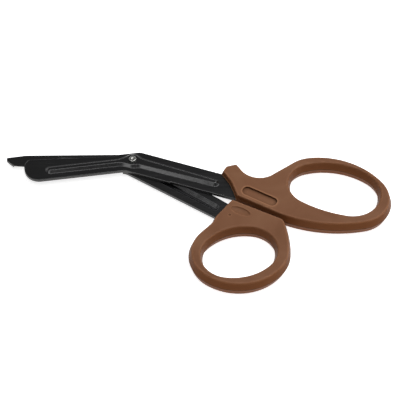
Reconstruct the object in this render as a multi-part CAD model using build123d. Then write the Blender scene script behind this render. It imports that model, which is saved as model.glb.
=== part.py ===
from build123d import *
import os
from math import acos, atan, atan2, degrees, hypot, sqrt

# Bandage scissors lying on a table: two stamped steel blades on one rivet, each with a moulded handle.
# Millimetres and degrees. X points to the handles, Y to the finger side, Z up.
# The origin is on the pivot axis, on the table.

# Stamped sheet, common to both blades
sheet_thickness = 1.6
edge_round = 0.35
blade_gap = 0.1
shank_width = 13.8
outer_bend_round = 5.0
inner_bend_round = 4.0

# Upper blade: wide, with a rounded end. Along its own axes from the pivot.
upper_shank_angle = -19.3
upper_blade_angle = 188.4
upper_length = 54.0
upper_spine = 5.4
upper_heel = 5.3
upper_heel_along = 7.3
upper_tip_edge = 9.5
upper_spine_corner = 7.5
upper_edge_corner = 5.5
shank_step = 0.5
shank_step_along = 22.5

# Lower blade: narrow, with a blunt beak that slides under a dressing
lower_shank_angle = -33.2
lower_blade_angle = 180.8
lower_spine = 5.7
lower_heel = 5.8
lower_heel_along = 5.0
lower_entry = 3.7
beak_start = 53.3
beak_length = 9.6
beak_drop = 1.4
beak_tip_width = 1.7
beak_tip_round = 0.7
beak_belly_back = 3.6
beak_belly_round = 3.5
lower_tip_width = 6.6

# Pressed rib that stiffens each blade, with a round pad at the pivot
rib_height = 1.3
rib_slope = 1.5
rib_wall_inset = 0.4
blade_rib_width = 4.6
shank_rib_width = 6.4
shank_rib_tail_width = 4.6
upper_blade_rib_end = 43.8
upper_shank_rib_end = 45.3
lower_blade_rib_end = 38.0
lower_blade_rib_lean = -3.6
lower_shank_rib_end = 51.8
lower_shank_rib_lean = -1.5
pad_radius = 4.7
blade_neck = 9.0
shank_neck = 4.5
neck_run = 0.2
crown_round = 0.6
foot_round = 0.5

# Ground cutting edges
bevel_width = 1.0
bevel_land = 0.35
tooth_pitch = 1.5
tooth_depth = 0.45
tooth_first = 10.0
tooth_last = 52.0

# Tangs that are moulded into the handles
tang_width = 8.0
tang_end_round = 2.0
key_hole_diameter = 3.6
finger_shoulder = 4.0
finger_tang = 21.0
thumb_shoulder = 3.0
thumb_tang = 13.0
thumb_tang_across = -1.6

# Pivot rivet
pin_diameter = 3.0
pin_clearance = 0.05
head_diameter = 8.0
head_clearance = 0.05
head_edge = 0.5
end_diameter = 3.6
end_height = 0.9
end_round = 0.4
dimple_diameter = 1.9
dimple_depth = 0.45

# Moulded handles, common: the walls lean out from both faces to a parting line at half height
handle_thickness = 8.5
wall_draft = 17.0
rim_round = 0.7
hole_round = 1.0
stop_trim = 0.65

# Finger handle at its parting line, along and across its shank from where the shank axis enters.
# Round stretches are circles (along, across, radius, bow); a hollow has a negative radius, and the bow
# is the radius of the curved run to the next circle, or 0 where that run is straight.
finger_reach = 52.0
finger_front_corner = (5.2, -4.45, 2.4, 0)
finger_gap_end = (28.1, -0.2, 10.6, 67.6)
finger_loop_end = (60.7, 13.2, 17.3, 38.5)
finger_loop_top = (38.5, 14.7, 17.6, 0)
finger_rest = (8.3, 19.0, -9.5, 0)
finger_nub_back = (-1.8, 12.1, 2.2, 0)
finger_nub_front = (-4.7, 9.5, 2.7, 0)
finger_front_top = (-5.5, 7.3, 2.3, 0)
finger_front_hollow = (-11.1, -7.9, -12.9, 0)
finger_hole_near = (38.5, 13.9, 11.7, 59.2)
finger_hole_end = (57.0, 14.8, 13.7, 33.0)
label_length = 18.5
label_width = 5.4
label_corner = 2.4
label_depth = 1.0
label_place = (15.2, -2.6)
label_tilt = -10.6

# Thumb handle at its parting line, in its own frame
thumb_reach = 54.5
thumb_gap_front = (2.2, 3.4, 2.4, 0)
thumb_front_low = (0.9, -9.2, 2.2, 0)
thumb_notch = (-3.7, -12.5, -3.0, 0)
thumb_loop_front = (15.8, -24.7, 18.4, 27.4)
thumb_loop_back = (25.1, -16.2, 18.6, 55.9)
thumb_gap_end = (27.2, 3.85, 4.6, 0)
thumb_hole_front = (17.1, -26.0, 12.0, 24.5)
thumb_hole_back = (24.0, -17.0, 12.3, 23.9)
oval_length = 10.4
oval_width = 4.4
oval_depth = 0.9
oval_place = (8.4, 0.4)
oval_tilt = 5.7
gate_diameter = 1.4
gate_depth = 0.25
gate_place = (5.1, -4.6)

# Heights that follow from the sizes above
middle_height = handle_thickness / 2
upper_inner_height = middle_height + blade_gap / 2
lower_inner_height = middle_height - blade_gap / 2
upper_pad_height = upper_inner_height + sheet_thickness + rib_height
lower_pad_height = lower_inner_height - sheet_thickness - rib_height

# Plan frames along each straight stretch
upper_blade_frame = Plane.XY.rotated((0, 0, upper_blade_angle))
upper_shank_frame = Plane.XY.rotated((0, 0, upper_shank_angle))
lower_blade_frame = Plane.XY.rotated((0, 0, lower_blade_angle))
lower_shank_frame = Plane.XY.rotated((0, 0, lower_shank_angle))
lower_blade_rib_frame = Plane.XY.rotated((0, 0, lower_blade_angle + lower_blade_rib_lean))
lower_shank_rib_frame = Plane.XY.rotated((0, 0, lower_shank_angle + lower_shank_rib_lean))
finger_frame = upper_shank_frame * Pos(finger_reach, 0, 0)
thumb_frame = lower_shank_frame * Pos(thumb_reach, 0, 0)

# Ribs as the frame and reach of the blade's stretch, then of the shank's
upper_rib = (upper_blade_frame, upper_blade_rib_end, upper_shank_frame, upper_shank_rib_end)
lower_rib = (lower_blade_rib_frame, lower_blade_rib_end, lower_shank_rib_frame, lower_shank_rib_end)


def crossing(start_a, end_a, start_b, end_b):
    """Plan point where the straight lines through two pairs of points meet."""
    along_a = end_a - start_a
    along_b = end_b - start_b
    apart = start_b - start_a
    share = (apart.X * along_b.Y - apart.Y * along_b.X) / (along_a.X * along_b.Y - along_a.Y * along_b.X)
    return start_a + along_a * share


def corner(side, base, facing):
    """Angle of a triangle between a side and the base, opposite the facing side."""
    return degrees(acos((side**2 + base**2 - facing**2) / (2 * side * base)))


def belt(circles):
    """Face inside a belt that runs anticlockwise round plan circles, and inside those of negative radius.

    A circle's last value is the radius of the bowed run that leads on from it, or 0 for a straight run.
    """
    leaving = []
    arriving = []
    for (x, y, r, bow), (next_x, next_y, next_r, _) in zip(circles, circles[1:] + circles[:1]):
        apart = hypot(next_x - x, next_y - y)
        head = degrees(atan2(next_y - y, next_x - x))
        if bow:
            leaving.append(head + 180 + corner(bow - r, apart, bow - next_r))
            arriving.append(head - corner(bow - next_r, apart, bow - r))
        else:
            leaving.append(head - degrees(acos((r - next_r) / apart)))
            arriving.append(leaving[-1])
    arcs = []
    for i, (x, y, r, _) in enumerate(circles):
        if r > 0:
            arcs.append(CenterArc((x, y), r, arriving[i - 1], (leaving[i] - arriving[i - 1]) % 360))
        else:
            arcs.append(CenterArc((x, y), -r, arriving[i - 1] + 180, -((arriving[i - 1] - leaving[i]) % 360)))
    runs = []
    for (_, _, _, bow), arc, after in zip(circles, arcs, arcs[1:] + arcs[:1]):
        runs.append(RadiusArc(arc @ 1, after @ 0, -bow) if bow else Line(arc @ 1, after @ 0))
    return make_face(arcs + runs)


def rounded_sheet(corners):
    """Sheet metal cut to an outline of (point, corner radius), its outer face up and its edge broken."""
    points = [point for point, radius in corners]
    radii = [radius for point, radius in corners]
    outline = make_face(FilletPolyline(*points, radius=radii, close=True))
    sheet = extrude(outline, sheet_thickness)
    return fillet(sheet.faces().sort_by(Axis.Z)[-1].edges(), edge_round)


def neck(half_width, hollow):
    """Place beside a rib, along and across it, of the hollow that leads the rib's side into the pad."""
    across = half_width + hollow
    return sqrt((pad_radius + hollow + neck_run) ** 2 - across**2), across


def pressing(rib, inset):
    """Solid of a pressed rib and its pad, standing on the plan and drawn in by an inset."""
    blade_frame, blade_end, shank_frame, shank_end = rib
    blade_half = blade_rib_width / 2
    shank_half = shank_rib_width / 2
    tail_half = shank_rib_tail_width / 2
    blade_along, blade_across = neck(blade_half, blade_neck)
    shank_along, shank_across = neck(shank_half, shank_neck)
    stations = [
        (blade_frame, blade_end - blade_half, 0, blade_half),
        (blade_frame, blade_along, blade_across, -blade_neck),
        (Plane.XY, 0, 0, pad_radius),
        (shank_frame, shank_along, -shank_across, -shank_neck),
        (shank_frame, shank_end - tail_half, 0, tail_half),
        (shank_frame, shank_along, shank_across, -shank_neck),
        (Plane.XY, 0, 0, pad_radius),
        (blade_frame, blade_along, -blade_across, -blade_neck),
    ]
    circles = []
    for frame, along, across, radius in stations:
        middle = frame.from_local_coords((along, across))
        circles.append((middle.X, middle.Y, radius - inset, 0))
    return extrude(belt(circles), rib_height, taper=degrees(atan(rib_slope / rib_height)))


def pressed(sheet, rib, bore):
    """Press a rib outwards in a sheet, hollow behind, and pierce the pivot hole."""
    swelling = pressing(rib, 0)
    swelling = fillet(swelling.faces().sort_by(Axis.Z)[-1].edges(), crown_round)
    blade = sheet + Pos(0, 0, sheet_thickness) * swelling
    outer_face = blade.faces().filter_by(Axis.Z).sort_by(Axis.Z)[-2]
    blade = fillet(outer_face.inner_wires()[0].edges(), foot_round)
    blade -= pressing(rib, rib_wall_inset)
    return blade - Cylinder(bore / 2, 4 * (sheet_thickness + rib_height))


def ground(blade, heel, tip):
    """Blade with its cutting edge, which lies on the right from heel to tip, ground to a bevel."""
    run = (tip - heel).normalized()
    outward = run.cross(Vector(0, 0, 1))
    section = Plane(origin=heel, x_dir=outward, z_dir=run)
    rise = sheet_thickness - bevel_land
    up = section.to_local_coords(heel + Vector(0, 0, 1)).Y
    wedge = Polygon(
        (-bevel_width, sheet_thickness * up),
        (bevel_width, (sheet_thickness - 2 * rise) * up),
        (bevel_width, 2 * sheet_thickness * up),
        (-bevel_width, 2 * sheet_thickness * up),
        align=None,
    )
    return blade - extrude(section * wedge, (tip - heel).length, dir=run)


def upper_blade():
    """Wide blade with a rounded end and the longer tang, inner face on the plan."""
    on_blade = upper_blade_frame.from_local_coords
    on_shank = upper_shank_frame.from_local_coords
    shoulder = finger_reach + finger_shoulder
    tang_end = finger_reach + finger_tang
    half = shank_width / 2
    heel = on_blade((upper_heel_along, -upper_heel))
    edge_tip = on_blade((upper_length, -upper_tip_edge))
    back = on_blade((0, -upper_heel))
    outer_bend = crossing(heel, back, on_shank((0, half)), on_shank((1, half)))
    inner_bend = crossing(on_blade((0, upper_spine)), on_blade((1, upper_spine)),
                          on_shank((0, -half)), on_shank((1, -half)))
    corners = [
        (on_blade((upper_length, upper_spine)), upper_spine_corner),
        (inner_bend, inner_bend_round),
        (on_shank((shank_step_along - shank_step, -half)), 0),
        (on_shank((shank_step_along, shank_step - half)), 0),
        (on_shank((shoulder, shank_step - half)), 0),
        (on_shank((shoulder, -tang_width / 2)), 0),
        (on_shank((tang_end, -tang_width / 2)), tang_end_round),
        (on_shank((tang_end, tang_width / 2)), tang_end_round),
        (on_shank((shoulder, tang_width / 2)), 0),
        (on_shank((shoulder, half)), 0),
        (outer_bend, outer_bend_round),
        (heel, 0),
        (edge_tip, upper_edge_corner),
    ]
    blade = pressed(rounded_sheet(corners), upper_rib, pin_diameter)
    blade = ground(blade, heel, edge_tip)
    key_hole = upper_shank_frame * Pos((shoulder + tang_end) / 2, 0, 0)
    return blade - key_hole * Cylinder(key_hole_diameter / 2, 4 * sheet_thickness)


def lower_blade():
    """Narrow beaked blade with a toothed edge, inner face on the plan and outer face up."""
    on_blade = lower_blade_frame.from_local_coords
    on_shank = lower_shank_frame.from_local_coords
    shoulder = thumb_reach + thumb_shoulder
    tang_end = thumb_reach + thumb_tang
    half = shank_width / 2
    tip = beak_start + beak_length
    tip_low = beak_drop + beak_tip_width - lower_spine
    heel = on_blade((lower_heel_along, lower_heel))
    belly = on_blade((tip - beak_belly_back, lower_tip_width - lower_spine))
    spine_start = on_blade((beak_start, -lower_spine))
    edge_bend = crossing(heel, belly, on_shank((0, -half)), on_shank((1, -half)))
    spine_bend = crossing(on_blade((0, -lower_spine)), spine_start,
                          on_shank((0, half)), on_shank((thumb_reach, lower_entry)))
    tang_low = thumb_tang_across - tang_width / 2
    tang_high = thumb_tang_across + tang_width / 2
    corners = [
        (spine_start, 0),
        (on_blade((tip, beak_drop - lower_spine)), beak_tip_round),
        (on_blade((tip, tip_low)), beak_tip_round),
        (belly, beak_belly_round),
        (edge_bend, outer_bend_round),
        (on_shank((shoulder, -half)), 0),
        (on_shank((shoulder, tang_low)), 0),
        (on_shank((tang_end, tang_low)), tang_end_round),
        (on_shank((tang_end, tang_high)), tang_end_round),
        (on_shank((shoulder, tang_high)), 0),
        (on_shank((shoulder, lower_entry)), 0),
        (spine_bend, inner_bend_round),
    ]
    bore = pin_diameter + 2 * pin_clearance
    blade = pressed(rounded_sheet(corners), lower_rib, bore)
    blade = ground(blade, belly, heel)
    blade -= teeth(heel, belly)
    key_hole = lower_shank_frame * Pos((shoulder + tang_end) / 2, thumb_tang_across, 0)
    return blade - key_hole * Cylinder(key_hole_diameter / 2, 4 * sheet_thickness)


def teeth(heel, tip):
    """Row of fine notches across a cutting edge."""
    run = (tip - heel).normalized()
    half_pitch = tooth_pitch / 2
    notch = Polygon((0, -tooth_depth), (half_pitch, tooth_depth), (-half_pitch, tooth_depth), align=None)
    cutter = extrude(notch, 4 * sheet_thickness, both=True)
    frame = Plane(origin=heel, x_dir=run, z_dir=(0, 0, 1))
    if frame.to_local_coords(Vector(0, 0, 0)).Y > 0:
        cutter = mirror(cutter, about=Plane.XZ)
    count = int((tooth_last - tooth_first) / tooth_pitch)
    return [frame * Pos(tooth_first + i * tooth_pitch, 0, 0) * cutter for i in range(count)]


def moulded(outline, hole):
    """Handle with leaning walls and a finger hole, trimmed to a flat stop along its longest straight side."""
    half = extrude(outline - hole, handle_thickness / 2, taper=wall_draft)
    body = half + mirror(half, about=Plane.XY)
    ends = body.faces().sort_by(Axis.Z)
    body = fillet(ends[0].outer_wire().edges() + ends[-1].outer_wire().edges(), rim_round)
    ends = body.faces().sort_by(Axis.Z)
    body = fillet(ends[0].inner_wires()[0].edges() + ends[-1].inner_wires()[0].edges(), hole_round)
    side = outline.edges().filter_by(GeomType.LINE).sort_by(SortBy.LENGTH)[-1]
    inward = Vector(0, 0, 1).cross(side % 0)
    if inward.dot(outline.center() - side @ 0) < 0:
        inward = -inward
    stop = Plane(origin=side @ 0 + inward * stop_trim, x_dir=side % 0, z_dir=inward)
    return Pos(0, 0, handle_thickness / 2) * split(body, bisect_by=stop, keep=Keep.TOP)


def finger_handle(blade):
    """Handle with the large loop, a finger rest and a nub beside the blade."""
    outline = belt([finger_front_corner, finger_gap_end, finger_loop_end, finger_loop_top, finger_rest,
                    finger_nub_back, finger_nub_front, finger_front_top, finger_front_hollow])
    handle = moulded(outline, belt([finger_hole_near, finger_hole_end]))
    label = Pos(*label_place, handle_thickness - label_depth) * Rot(0, 0, label_tilt)
    handle -= extrude(label * RectangleRounded(label_length, label_width, label_corner), 2 * label_depth)
    return finger_frame * handle - blade


def thumb_handle(blade):
    """Handle with the small loop, an oval dish and the mark of the gate that it was filled through."""
    outline = belt([thumb_gap_front, thumb_front_low, thumb_notch,
                    thumb_loop_front, thumb_loop_back, thumb_gap_end])
    handle = moulded(outline, belt([thumb_hole_front, thumb_hole_back]))
    dish = scale(Sphere(1), by=(oval_length / 2, oval_width / 2, oval_depth))
    handle -= Pos(*oval_place, handle_thickness) * Rot(0, 0, oval_tilt) * dish
    handle -= Pos(*gate_place, handle_thickness) * Cylinder(gate_diameter / 2, 2 * gate_depth)
    return thumb_frame * handle - blade


def pivot_rivet():
    """Headed rivet whose upper end is spun over the pad, with a dimple left by the tool."""
    standing = (Align.CENTER, Align.CENTER, Align.MIN)
    head = Cylinder(head_diameter / 2, lower_pad_height - head_clearance, align=standing)
    head = chamfer(head.edges().sort_by(Axis.Z)[0], head_edge)
    end = Cylinder(end_diameter / 2, end_height, align=standing)
    end = Pos(0, 0, upper_pad_height) * fillet(end.edges().sort_by(Axis.Z)[-1], end_round)
    pin = Cylinder(pin_diameter / 2, upper_pad_height, align=standing)
    dimple_curve = ((dimple_diameter / 2) ** 2 + dimple_depth**2) / (2 * dimple_depth)
    dimple_middle = upper_pad_height + end_height - dimple_depth + dimple_curve
    return head + pin + end - Pos(0, 0, dimple_middle) * Sphere(dimple_curve)


upper = Pos(0, 0, upper_inner_height) * upper_blade()
lower = Pos(0, 0, lower_inner_height) * mirror(lower_blade(), about=Plane.XY)
parts = {
    "upper_blade": upper,
    "lower_blade": lower,
    "finger_handle": finger_handle(upper),
    "thumb_handle": thumb_handle(lower),
    "pivot_rivet": pivot_rivet(),
}

os.makedirs("parts", exist_ok=True)
for name, solid in parts.items():
    export_step(solid, f"parts/{name}.step")
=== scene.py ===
"""Bandage scissors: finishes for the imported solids, with the floor, lamps and camera of the photograph.

Lengths are metres, apart from fields whose names end in _mm.
"""
import logging
import math
from dataclasses import dataclass
from enum import Enum
from typing import Any

import bpy
from mathutils import Matrix, Vector


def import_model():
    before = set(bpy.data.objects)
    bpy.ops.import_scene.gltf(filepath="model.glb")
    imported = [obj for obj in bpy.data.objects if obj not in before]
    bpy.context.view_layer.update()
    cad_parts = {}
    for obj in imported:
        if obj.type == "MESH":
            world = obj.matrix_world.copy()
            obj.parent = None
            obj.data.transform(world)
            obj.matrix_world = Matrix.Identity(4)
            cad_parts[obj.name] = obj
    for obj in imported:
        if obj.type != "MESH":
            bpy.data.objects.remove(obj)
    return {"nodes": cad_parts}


LOG = logging.getLogger("bandage_scissors")
MM = 0.001
IMAGE_PX = 400
WHITE = (1.0, 1.0, 1.0, 1.0)

# A Wave texture of scale 1 repeats after this length.
WAVE_PERIOD = math.pi / 10

# A Noise texture seldom leaves this range.
NOISE_LOW = 0.3
NOISE_HIGH = 0.7
NOISE_MIDDLE = 0.5

# A Mix node has sockets of one name for numbers and for colours, so they go by place.
NUMBER_A = 2
NUMBER_B = 3
NUMBER_OUT = 0
COLOUR_A = 6
COLOUR_B = 7
COLOUR_OUT = 2


def linear(hex_colour: str) -> tuple[float, float, float, float]:
    """Turn an sRGB hex colour into a linear one, by the curve of the sRGB standard.

    Args:
        hex_colour: Colour such as "#7A5743".

    Returns:
        Linear red, green, blue and an alpha of 1.
    """
    channels = [int(hex_colour[i:i + 2], 16) / 255 for i in (1, 3, 5)]
    levels = [c / 12.92 if c <= 0.04045 else ((c + 0.055) / 1.055) ** 2.4 for c in channels]
    return (*levels, 1.0)


def per_metre(pattern_mm: float) -> float:
    """Return the texture scale at which a pattern repeats every pattern_mm."""
    return 1 / (pattern_mm * MM)


def direction(azimuth_deg: float, elevation_deg: float) -> Vector:
    """Return the unit vector towards a viewer: azimuth 0 stands on the -Y side."""
    turn, lift = math.radians(azimuth_deg), math.radians(elevation_deg)
    return Vector((math.sin(turn) * math.cos(lift), -math.cos(turn) * math.cos(lift), math.sin(lift)))


def add_node(
    tree: bpy.types.NodeTree,
    kind: str,
    settings: dict[str, Any] | None = None,
    inputs: dict[str | int, Any] | None = None,
) -> bpy.types.Node:
    """Add a node with its settings and links.

    Args:
        tree: Node tree that takes the node.
        kind: Blender's name of the node type.
        settings: Values of the node's own properties.
        inputs: A value, or an output socket to link, for each input by name or place.

    Returns:
        The new node.
    """
    node = tree.nodes.new(kind)
    for key, value in (settings or {}).items():
        setattr(node, key, value)
    for key, value in (inputs or {}).items():
        if isinstance(value, bpy.types.NodeSocket):
            tree.links.new(value, node.inputs[key])
        else:
            node.inputs[key].default_value = value
    return node


def new_tree(name: str) -> tuple[bpy.types.Material, bpy.types.NodeTree]:
    """Start an empty node material.

    Args:
        name: Name of the material.

    Returns:
        The material and its node tree.
    """
    material = bpy.data.materials.new(name)
    material.use_nodes = True
    material.node_tree.nodes.clear()
    return material, material.node_tree


def levelness(tree: bpy.types.NodeTree) -> bpy.types.NodeSocket:
    """Tell level faces from slopes and walls.

    Args:
        tree: Node tree that asks.

    Returns:
        Socket that is 1 on a level face, up or down, and 0 on an upright wall.
    """
    facing = add_node(tree, "ShaderNodeNewGeometry").outputs["Normal"]
    upward = add_node(tree, "ShaderNodeSeparateXYZ", None, {"Vector": facing}).outputs["Z"]
    level = add_node(tree, "ShaderNodeMath", {"operation": "ABSOLUTE"}, {0: upward})
    return level.outputs["Value"]


def finish_node(node: bpy.types.Object, material: bpy.types.Material) -> None:
    """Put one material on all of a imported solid.

    Args:
        node: The solid's object.
        material: Its finish.
    """
    node.data.materials.clear()
    node.data.materials.append(material)


@dataclass(frozen=True)
class CoatedSteel:
    """Stamped stainless steel with a baked black non-stick coating.

    The eye sees a near-black satin skin: sprayed, so it has a fine orange peel, with the sheet's
    rolling marks faintly under it, greyer edges that are partly burnished wear and partly a painted
    highlight, and a ripple on the slopes that were pressed. The facing bounds of the burnished edges
    and ripple_level say where their marks begin and where they are full.
    """

    name: str = "black_coated_stainless_steel"
    coat_hex: str = "#0D0D0E"
    # Grey of the edges: burnished wear and a painted highlight.
    burnish_highlight_hex: str = "#7C7C80"
    roughness_low: float = 0.18
    roughness_high: float = 0.28
    reflection: float = 0.52
    mottle_range: tuple[float, float] = (0.1, 0.45)
    peel_mm: float = 1.1
    peel_height_mm: float = 0.006
    peel_detail: float = 3.0
    peel_contrast: float = 0.55
    peel_strength: float = 0.5
    rolling_mm: float = 0.8
    rolling_stretch: float = 0.03
    rolling_detail: float = 4.0
    patch_mm: float = 16.0
    patch_detail: float = 5.0
    patch_contrast: float = 0.6
    # The strips along the edges that take the grey of wear and painted highlight.
    burnish_highlight_mm: float = 0.5
    burnish_highlight_samples: int = 4
    burnish_highlight_facing: tuple[float, float] = (0.99, 0.85)
    ripple_mm: float = 9.0
    ripple_height_mm: float = 0.16
    ripple_detail: float = 2.0
    ripple_flat_share: float = 0.06
    ripple_level: tuple[float, float] = (0.98, 0.85)

    def material(self) -> bpy.types.Material:
        """Make the coating.

        Returns:
            The node material.
        """
        material, tree = new_tree(self.name)
        place = add_node(tree, "ShaderNodeTexCoord").outputs["Object"]
        peel = add_node(tree, "ShaderNodeTexNoise", None, {
            "Vector": place, "Scale": per_metre(self.peel_mm),
            "Detail": self.peel_detail, "Roughness": self.peel_contrast})
        drawn = add_node(tree, "ShaderNodeMapping", None, {
            "Vector": place, "Scale": (self.rolling_stretch, 1.0, 1.0)})
        rolling = add_node(tree, "ShaderNodeTexNoise", None, {
            "Vector": drawn.outputs["Vector"], "Scale": per_metre(self.rolling_mm),
            "Detail": self.rolling_detail})
        patches = add_node(tree, "ShaderNodeTexNoise", None, {
            "Vector": place, "Scale": per_metre(self.patch_mm),
            "Detail": self.patch_detail, "Roughness": self.patch_contrast})
        mottle = add_node(tree, "ShaderNodeMath", {"operation": "MULTIPLY"}, {
            0: rolling.outputs["Fac"], 1: patches.outputs["Fac"]})
        roughness = add_node(tree, "ShaderNodeMapRange", None, {
            "Value": mottle.outputs["Value"],
            "From Min": self.mottle_range[0], "From Max": self.mottle_range[1],
            "To Min": self.roughness_low, "To Max": self.roughness_high})
        # Edges turned grey: burnished wear and a painted highlight.
        edge_burnish_highlight = self.burnish_highlight_mask(tree, patches.outputs["Fac"])
        colour = add_node(tree, "ShaderNodeMix", {"data_type": "RGBA"}, {
            "Factor": edge_burnish_highlight, COLOUR_A: linear(self.coat_hex), COLOUR_B: linear(self.burnish_highlight_hex)})
        bump = add_node(tree, "ShaderNodeBump", None, {
            "Strength": self.peel_strength, "Distance": self.peel_height_mm * MM,
            "Height": peel.outputs["Fac"], "Normal": self.rippled_normal(tree, place)})
        shader = add_node(tree, "ShaderNodeBsdfPrincipled", None, {
            "Base Color": colour.outputs[COLOUR_OUT], "Roughness": roughness.outputs["Result"],
            "Specular IOR Level": self.reflection, "Normal": bump.outputs["Normal"]})
        add_node(tree, "ShaderNodeOutputMaterial", None, {"Surface": shader.outputs["BSDF"]})
        return material

    def rippled_normal(self, tree: bpy.types.NodeTree,
                       place: bpy.types.NodeSocket) -> bpy.types.NodeSocket:
        """Ripple the pressed slopes, which the press leaves less even than the rolled flats.

        Args:
            tree: Node tree that takes the ripple.
            place: Object coordinates.

        Returns:
            Socket with the rippled normal.
        """
        ripple = add_node(tree, "ShaderNodeTexNoise", None, {
            "Vector": place, "Scale": per_metre(self.ripple_mm), "Detail": self.ripple_detail})
        share = add_node(tree, "ShaderNodeMapRange", None, {
            "Value": levelness(tree),
            "From Min": self.ripple_level[0], "From Max": self.ripple_level[1],
            "To Min": self.ripple_flat_share, "To Max": 1.0})
        height = add_node(tree, "ShaderNodeMath", {"operation": "MULTIPLY"}, {
            0: ripple.outputs["Fac"], 1: share.outputs["Result"]})
        bump = add_node(tree, "ShaderNodeBump", None, {
            "Strength": 1.0, "Distance": self.ripple_height_mm * MM, "Height": height.outputs["Value"]})
        return bump.outputs["Normal"]

    def burnish_highlight_mask(self, tree: bpy.types.NodeTree, uneven: bpy.types.NodeSocket) -> bpy.types.NodeSocket:
        """Mark the narrow strips along sharp edges that turn grey: burnished wear and a painted
        highlight.

        Args:
            tree: Node tree that takes the mask.
            uneven: Noise that breaks the strips up.

        Returns:
            Socket that is the noise on a burnished, highlighted edge and 0 away from it.
        """
        rounded = add_node(tree, "ShaderNodeBevel", {"samples": self.burnish_highlight_samples}, {
            "Radius": self.burnish_highlight_mm * MM})
        true_face = add_node(tree, "ShaderNodeNewGeometry").outputs["Normal"]
        facing = add_node(tree, "ShaderNodeVectorMath", {"operation": "DOT_PRODUCT"}, {
            0: rounded.outputs["Normal"], 1: true_face})
        edge = add_node(tree, "ShaderNodeMapRange", None, {
            "Value": facing.outputs["Value"],
            "From Min": self.burnish_highlight_facing[0], "From Max": self.burnish_highlight_facing[1],
            "To Min": 0.0, "To Max": 1.0})
        mask = add_node(tree, "ShaderNodeMath", {"operation": "MULTIPLY"}, {
            0: edge.outputs["Result"], 1: uneven})
        return mask.outputs["Value"]


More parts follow.
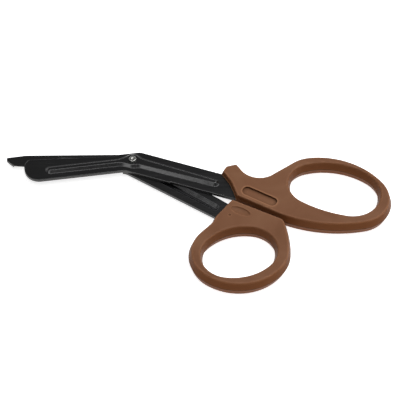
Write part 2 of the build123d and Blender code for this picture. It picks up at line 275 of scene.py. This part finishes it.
@dataclass(frozen=True)
class MouldedPlastic:
    """Coyote brown polypropylene, injection moulded in a spark-eroded tool.

    The eye sees an even brown with a soft sheen, a fine matte grain and faint cloudy flow marks, walls
    made darker and deeper by painted shade, rims made paler by a painted highlight with some polish,
    painted shade in the hollows and a parting line half way up. The level bounds of the wall shade and
    bend_openness say where their marks begin and where they are full.
    """

    name: str = "brown_moulded_polypropylene"
    body_hex: str = "#77513A"
    pale_hex: str = "#7E5941"
    dark_hex: str = "#6E4932"
    roughness_low: float = 0.42
    roughness_high: float = 0.54
    ior: float = 1.49
    reflection: float = 0.08
    grain_mm: float = 0.7
    grain_height_mm: float = 0.02
    grain_detail: float = 4.0
    grain_contrast: float = 0.6
    grain_strength: float = 0.6
    flow_mm: float = 22.0
    flow_detail: float = 4.0
    flow_swirl: float = 0.8
    # Painted shade: the walls darker and deeper in colour than the level faces.
    painted_wall_shade_hex: str = "#6C4327"
    wall_shade_level: tuple[float, float] = (0.9, 0.5)
    bend_samples: int = 8
    bend_openness: tuple[float, float] = (0.97, 0.72)
    # Painted highlight on the rims, with some polish from handling.
    rim_highlight_hex: str = "#9A6D50"
    rim_highlight_mm: float = 1.1
    rim_highlight_share: float = 0.8
    # Painted shade in the hollows, darkest where they close in.
    hollow_shade_hex: str = "#4A2E1A"
    hollow_shade_mm: float = 2.2
    hollow_shade_share: float = 0.6
    parting_hex: str = "#40260F"
    parting_height_mm: float = 4.25
    parting_width_mm: float = 0.9

    def material(self) -> bpy.types.Material:
        """Make the plastic.

        Returns:
            The node material.
        """
        material, tree = new_tree(self.name)
        place = add_node(tree, "ShaderNodeTexCoord").outputs["Object"]
        grain = add_node(tree, "ShaderNodeTexNoise", None, {
            "Vector": place, "Scale": per_metre(self.grain_mm),
            "Detail": self.grain_detail, "Roughness": self.grain_contrast})
        roughness = add_node(tree, "ShaderNodeMapRange", None, {
            "Value": grain.outputs["Fac"], "From Min": NOISE_LOW, "From Max": NOISE_HIGH,
            "To Min": self.roughness_low, "To Max": self.roughness_high})
        grained = add_node(tree, "ShaderNodeBump", None, {
            "Strength": self.grain_strength, "Distance": self.grain_height_mm * MM,
            "Height": grain.outputs["Fac"]})
        shader = add_node(tree, "ShaderNodeBsdfPrincipled", None, {
            "Base Color": self.layered_colour(tree, place), "Roughness": roughness.outputs["Result"],
            "IOR": self.ior, "Specular IOR Level": self.reflection,
            "Normal": grained.outputs["Normal"]})
        add_node(tree, "ShaderNodeOutputMaterial", None, {"Surface": shader.outputs["BSDF"]})
        return material

    def layered_colour(self, tree: bpy.types.NodeTree,
                       place: bpy.types.NodeSocket) -> bpy.types.NodeSocket:
        """Lay painted wall and hollow shade, a painted rim highlight and the parting line over the
        clouded brown.

        Args:
            tree: Node tree that takes the colours.
            place: Object coordinates.

        Returns:
            Socket with the colour.
        """
        flow = add_node(tree, "ShaderNodeTexNoise", None, {
            "Vector": place, "Scale": per_metre(self.flow_mm),
            "Detail": self.flow_detail, "Distortion": self.flow_swirl})
        clouds = add_node(tree, "ShaderNodeValToRGB", None, {"Fac": flow.outputs["Fac"]})
        dark_end, pale_end = clouds.color_ramp.elements
        dark_end.position = NOISE_LOW
        dark_end.color = linear(self.dark_hex)
        pale_end.position = NOISE_HIGH
        pale_end.color = linear(self.pale_hex)
        clouds.color_ramp.elements.new(NOISE_MIDDLE).color = linear(self.body_hex)
        # Painted shade on the walls, a painted highlight on the rims, painted shade in the hollows, and
        # the parting line.
        layers = (
            (self.painted_wall_shade_mask(tree), self.painted_wall_shade_hex),
            (self.bend_mask(tree, True, self.rim_highlight_mm, self.rim_highlight_share), self.rim_highlight_hex),
            (self.bend_mask(tree, False, self.hollow_shade_mm, self.hollow_shade_share), self.hollow_shade_hex),
            (self.parting_mask(tree, place), self.parting_hex),
        )
        colour = clouds.outputs["Color"]
        for mask, layer_hex in layers:
            laid = add_node(tree, "ShaderNodeMix", {"data_type": "RGBA"}, {
                "Factor": mask, COLOUR_A: colour, COLOUR_B: linear(layer_hex)})
            colour = laid.outputs[COLOUR_OUT]
        return colour

    def painted_wall_shade_mask(self, tree: bpy.types.NodeTree) -> bpy.types.NodeSocket:
        """Mark the walls, which take a painted shade that makes them darker and deeper in colour than the
        level faces.

        Args:
            tree: Node tree that takes the mask.

        Returns:
            Socket that is 1 on the walls and 0 on the level faces.
        """
        mask = add_node(tree, "ShaderNodeMapRange", None, {
            "Value": levelness(tree),
            "From Min": self.wall_shade_level[0], "From Max": self.wall_shade_level[1],
            "To Min": 0.0, "To Max": 1.0})
        return mask.outputs["Result"]

    def bend_mask(self, tree: bpy.types.NodeTree, outward: bool, reach_mm: float,
                  share: float) -> bpy.types.NodeSocket:
        """Mark the rims for a painted highlight with some polish, or else the hollows for painted shade.

        Args:
            tree: Node tree that takes the mask.
            outward: Whether rims are marked, and not hollows.
            reach_mm: How far a bend shows from its corner.
            share: Value of the mask on a sharp bend.

        Returns:
            Socket that is share on a sharp bend and 0 on flat walls.
        """
        openness = add_node(tree, "ShaderNodeAmbientOcclusion", {
            "inside": outward, "only_local": True, "samples": self.bend_samples}, {
            "Distance": reach_mm * MM})
        mask = add_node(tree, "ShaderNodeMapRange", None, {
            "Value": openness.outputs["AO"],
            "From Min": self.bend_openness[0], "From Max": self.bend_openness[1],
            "To Min": 0.0, "To Max": share})
        return mask.outputs["Result"]

    def parting_mask(self, tree: bpy.types.NodeTree,
                     place: bpy.types.NodeSocket) -> bpy.types.NodeSocket:
        """Mark the line at half height where the two halves of the mould met.

        The real line is a hairline, and it is drawn wider so that it shows.

        Args:
            tree: Node tree that takes the mask.
            place: Object coordinates.

        Returns:
            Socket that is 1 in the middle of the line and 0 beside it.
        """
        height = add_node(tree, "ShaderNodeSeparateXYZ", None, {"Vector": place}).outputs["Z"]
        away = add_node(tree, "ShaderNodeMath", {"operation": "SUBTRACT"}, {
            0: height, 1: self.parting_height_mm * MM})
        offset = add_node(tree, "ShaderNodeMath", {"operation": "ABSOLUTE"}, {0: away.outputs["Value"]})
        mask = add_node(tree, "ShaderNodeMapRange", None, {
            "Value": offset.outputs["Value"],
            "From Min": 0.0, "From Max": self.parting_width_mm * MM / 2,
            "To Min": 1.0, "To Max": 0.0})
        return mask.outputs["Result"]


@dataclass(frozen=True)
class TurnedSteel:
    """Bright stainless steel, turned on a lathe and then spun over.

    The eye sees a mirror-like grey broken by fine rings about the axis.
    """

    name: str = "bright_turned_steel"
    steel_hex: str = "#979794"
    roughness_low: float = 0.16
    roughness_high: float = 0.30
    ring_mm: float = 0.35
    ring_height_mm: float = 0.008
    ring_detail: float = 2.0
    ring_swirl: float = 0.6
    ring_strength: float = 0.4
    smear_mm: float = 1.2
    smear_detail: float = 3.0

    def material(self) -> bpy.types.Material:
        """Make the steel.

        Returns:
            The node material.
        """
        material, tree = new_tree(self.name)
        place = add_node(tree, "ShaderNodeTexCoord").outputs["Object"]
        rings = add_node(tree, "ShaderNodeTexWave", {
            "wave_type": "RINGS", "rings_direction": "Z", "wave_profile": "SIN"}, {
            "Vector": place, "Scale": per_metre(self.ring_mm) * WAVE_PERIOD,
            "Distortion": self.ring_swirl, "Detail": self.ring_detail})
        smear = add_node(tree, "ShaderNodeTexNoise", None, {
            "Vector": place, "Scale": per_metre(self.smear_mm), "Detail": self.smear_detail})
        roughness = add_node(tree, "ShaderNodeMapRange", None, {
            "Value": smear.outputs["Fac"], "From Min": NOISE_LOW, "From Max": NOISE_HIGH,
            "To Min": self.roughness_low, "To Max": self.roughness_high})
        bump = add_node(tree, "ShaderNodeBump", None, {
            "Strength": self.ring_strength, "Distance": self.ring_height_mm * MM,
            "Height": rings.outputs["Fac"]})
        shader = add_node(tree, "ShaderNodeBsdfPrincipled", None, {
            "Base Color": linear(self.steel_hex), "Metallic": 1.0,
            "Roughness": roughness.outputs["Result"], "Normal": bump.outputs["Normal"]})
        add_node(tree, "ShaderNodeOutputMaterial", None, {"Surface": shader.outputs["BSDF"]})
        return material


@dataclass
class ScissorHalf:
    """One half of the scissors: a stamped blade and the handle moulded on its tang."""

    body: str
    blade_node: str
    handle_node: str

    def dress(self, nodes: dict[str, bpy.types.Object], coating: bpy.types.Material,
              plastic: bpy.types.Material) -> None:
        """Give the blade and the handle their finishes.

        Args:
            nodes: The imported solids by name.
            coating: Finish of the blade.
            plastic: Finish of the handle.
        """
        for name, material in ((self.blade_node, coating), (self.handle_node, plastic)):
            finish_node(nodes[name], material)
            LOG.info("%s on %s: %s", name, self.body, material.name)


@dataclass
class PivotRivet:
    """The rivet that the two halves turn on."""

    node: str = "pivot_rivet"

    def dress(self, nodes: dict[str, bpy.types.Object], steel: bpy.types.Material) -> None:
        """Give the rivet its finish.

        Args:
            nodes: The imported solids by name.
            steel: Finish of the rivet.
        """
        finish_node(nodes[self.node], steel)
        LOG.info("%s: %s", self.node, steel.name)


class LampRole(Enum):
    """What a lamp is for."""

    TOP = "top_softbox"
    FRONT = "front_softbox"
    SIDE = "side_softbox"
    FILL = "fill_softbox"


@dataclass(frozen=True)
class Softbox:
    """A square area lamp that points at the scissors.

    One with lights_matte off shows only in reflections.
    """

    role: LampRole
    azimuth_deg: float
    elevation_deg: float
    distance: float
    width: float
    radiance: float
    lights_matte: bool = True

    def build(self, target: Vector) -> None:
        """Add the lamp.

        Args:
            target: Point that the lamp faces.
        """
        lamp = bpy.data.lights.new(self.role.value, "AREA")
        lamp.shape = "SQUARE"
        lamp.size = self.width
        lamp.energy = self.radiance * math.pi * self.width ** 2
        holder = bpy.data.objects.new(self.role.value, lamp)
        back = direction(self.azimuth_deg, self.elevation_deg)
        holder.location = target + back * self.distance
        holder.rotation_euler = (-back).to_track_quat("-Z", "Y").to_euler()
        holder.visible_diffuse = self.lights_matte
        bpy.context.scene.collection.objects.link(holder)
        LOG.info("lamp %s", self.role.value)


@dataclass
class Studio:
    """White floor, soft lamps and the camera of the photograph."""

    floor_width: float = 6.0
    floor_hex: str = "#EAEAEA"
    floor_glow: float = 0.82
    floor_fade: tuple[float, float] = (0.4, 1.2)
    # The floor glows with this warm light onto the object, though it is no lamp.
    floor_emitted_light: float = 0.75
    emitted_light_hex: str = "#FFD494"
    sky_light: float = 0.05
    sky_top: float = 0.18
    sky_fade: tuple[float, float] = (0.26, 0.74)
    azimuth_deg: float = 0.0
    elevation_deg: float = 50.0
    camera_distance_mm: float = 900.0
    pixels_per_mm: float = 1.985
    aim_mm: tuple[float, float, float] = (33.5, -20.3, 0.0)
    sensor_mm: float = 36.0
    lamps: tuple[Softbox, ...] = (
        Softbox(LampRole.TOP, azimuth_deg=125.0, elevation_deg=66.0,
                distance=0.95, width=0.52, radiance=7.1),
        Softbox(LampRole.FRONT, azimuth_deg=-45.0, elevation_deg=43.0,
                distance=0.40, width=0.14, radiance=3.4, lights_matte=False),
        Softbox(LampRole.SIDE, azimuth_deg=100.0, elevation_deg=42.0,
                distance=0.7, width=0.26, radiance=3.6),
        Softbox(LampRole.FILL, azimuth_deg=-14.0, elevation_deg=70.0,
                distance=1.0, width=0.5, radiance=3.4),
    )

    def build(self) -> None:
        """Build the floor, the world, the lamps and the camera."""
        bpy.context.scene.view_settings.view_transform = "Standard"
        self.build_floor()
        self.build_world()
        for lamp in self.lamps:
            lamp.build(Vector(self.aim_mm) * MM)
        self.build_camera()

    def seen_directly(self, tree: bpy.types.NodeTree) -> bpy.types.NodeSocket:
        """Tell what the camera, a reflection or a clear body sees from what only lights the object.

        Args:
            tree: Node tree that asks.

        Returns:
            Socket that is 1 for camera, glossy and transmission rays.
        """
        path = add_node(tree, "ShaderNodeLightPath").outputs
        mirrored = add_node(tree, "ShaderNodeMath", {"operation": "MAXIMUM"}, {
            0: path["Is Glossy Ray"], 1: path["Is Transmission Ray"]})
        seen = add_node(tree, "ShaderNodeMath", {"operation": "MAXIMUM"}, {
            0: path["Is Camera Ray"], 1: mirrored.outputs["Value"]})
        return seen.outputs["Value"]

    def build_floor(self) -> None:
        """Lay the floor: white where seen, with the shadow kept, and else glowing warm onto the object
        though no lamp.
        """
        bpy.ops.mesh.primitive_plane_add(size=self.floor_width)
        floor = bpy.context.active_object
        floor.name = "studio_floor"
        material, tree = new_tree("matte_white_paper")
        paper = add_node(tree, "ShaderNodeBsdfDiffuse", None, {"Color": linear(self.floor_hex)})
        place = add_node(tree, "ShaderNodeTexCoord").outputs["Object"]
        away = add_node(tree, "ShaderNodeVectorMath", {"operation": "LENGTH"}, {0: place})
        white = add_node(tree, "ShaderNodeMapRange", None, {
            "Value": away.outputs["Value"],
            "From Min": self.floor_fade[0], "From Max": self.floor_fade[1],
            "To Min": self.floor_glow, "To Max": 1.0})
        seen = self.seen_directly(tree)
        strength = add_node(tree, "ShaderNodeMix", None, {
            "Factor": seen, NUMBER_A: self.floor_emitted_light, NUMBER_B: white.outputs["Result"]})
        tint = add_node(tree, "ShaderNodeMix", {"data_type": "RGBA"}, {
            "Factor": seen, COLOUR_A: linear(self.emitted_light_hex), COLOUR_B: WHITE})
        glow = add_node(tree, "ShaderNodeEmission", None, {
            "Color": tint.outputs[COLOUR_OUT], "Strength": strength.outputs[NUMBER_OUT]})
        both = add_node(tree, "ShaderNodeAddShader", None, {
            0: paper.outputs["BSDF"], 1: glow.outputs["Emission"]})
        add_node(tree, "ShaderNodeOutputMaterial", None, {"Surface": both.outputs["Shader"]})
        floor.data.materials.append(material)

    def build_world(self) -> None:
        """Make the world: where seen, white low down and dim overhead, and else a weak even light."""
        world = bpy.data.worlds.new("studio")
        world.use_nodes = True
        tree = world.node_tree
        tree.nodes.clear()
        heading = add_node(tree, "ShaderNodeTexCoord").outputs["Generated"]
        height = add_node(tree, "ShaderNodeSeparateXYZ", None, {"Vector": heading}).outputs["Z"]
        backdrop = add_node(tree, "ShaderNodeMapRange", {"interpolation_type": "SMOOTHSTEP"}, {
            "Value": height, "From Min": self.sky_fade[0], "From Max": self.sky_fade[1],
            "To Min": 1.0, "To Max": self.sky_top})
        strength = add_node(tree, "ShaderNodeMix", None, {
            "Factor": self.seen_directly(tree), NUMBER_A: self.sky_light,
            NUMBER_B: backdrop.outputs["Result"]})
        sky = add_node(tree, "ShaderNodeBackground", None, {
            "Color": WHITE, "Strength": strength.outputs[NUMBER_OUT]})
        add_node(tree, "ShaderNodeOutputWorld", None, {"Surface": sky.outputs["Background"]})
        bpy.context.scene.world = world

    def build_camera(self) -> None:
        """Stand the camera where the photograph was taken from, level with the X axis."""
        data = bpy.data.cameras.new("photo_camera")
        data.sensor_width = self.sensor_mm
        data.lens = self.sensor_mm * self.pixels_per_mm * self.camera_distance_mm / IMAGE_PX
        camera = bpy.data.objects.new("photo_camera", data)
        stand = direction(self.azimuth_deg, self.elevation_deg) * self.camera_distance_mm * MM
        back = (stand - Vector(self.aim_mm) * MM).normalized()
        right = (Vector((1.0, 0.0, 0.0)) - back * back.x).normalized()
        up = back.cross(right)
        turned = Matrix((right, up, back)).transposed().to_4x4()
        camera.matrix_world = Matrix.Translation(stand) @ turned
        bpy.context.scene.collection.objects.link(camera)
        bpy.context.scene.camera = camera


def main() -> None:
    """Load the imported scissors, dress them and set them in the studio."""
    logging.basicConfig(level=logging.INFO)
    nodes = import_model()["nodes"]
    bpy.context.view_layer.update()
    coating = CoatedSteel().material()
    plastic = MouldedPlastic().material()
    for half in (ScissorHalf("finger_half", "upper_blade", "finger_handle"),
                 ScissorHalf("thumb_half", "lower_blade", "thumb_handle")):
        half.dress(nodes, coating, plastic)
    PivotRivet().dress(nodes, TurnedSteel().material())
    Studio().build()


if __name__ == "__main__":
    main()
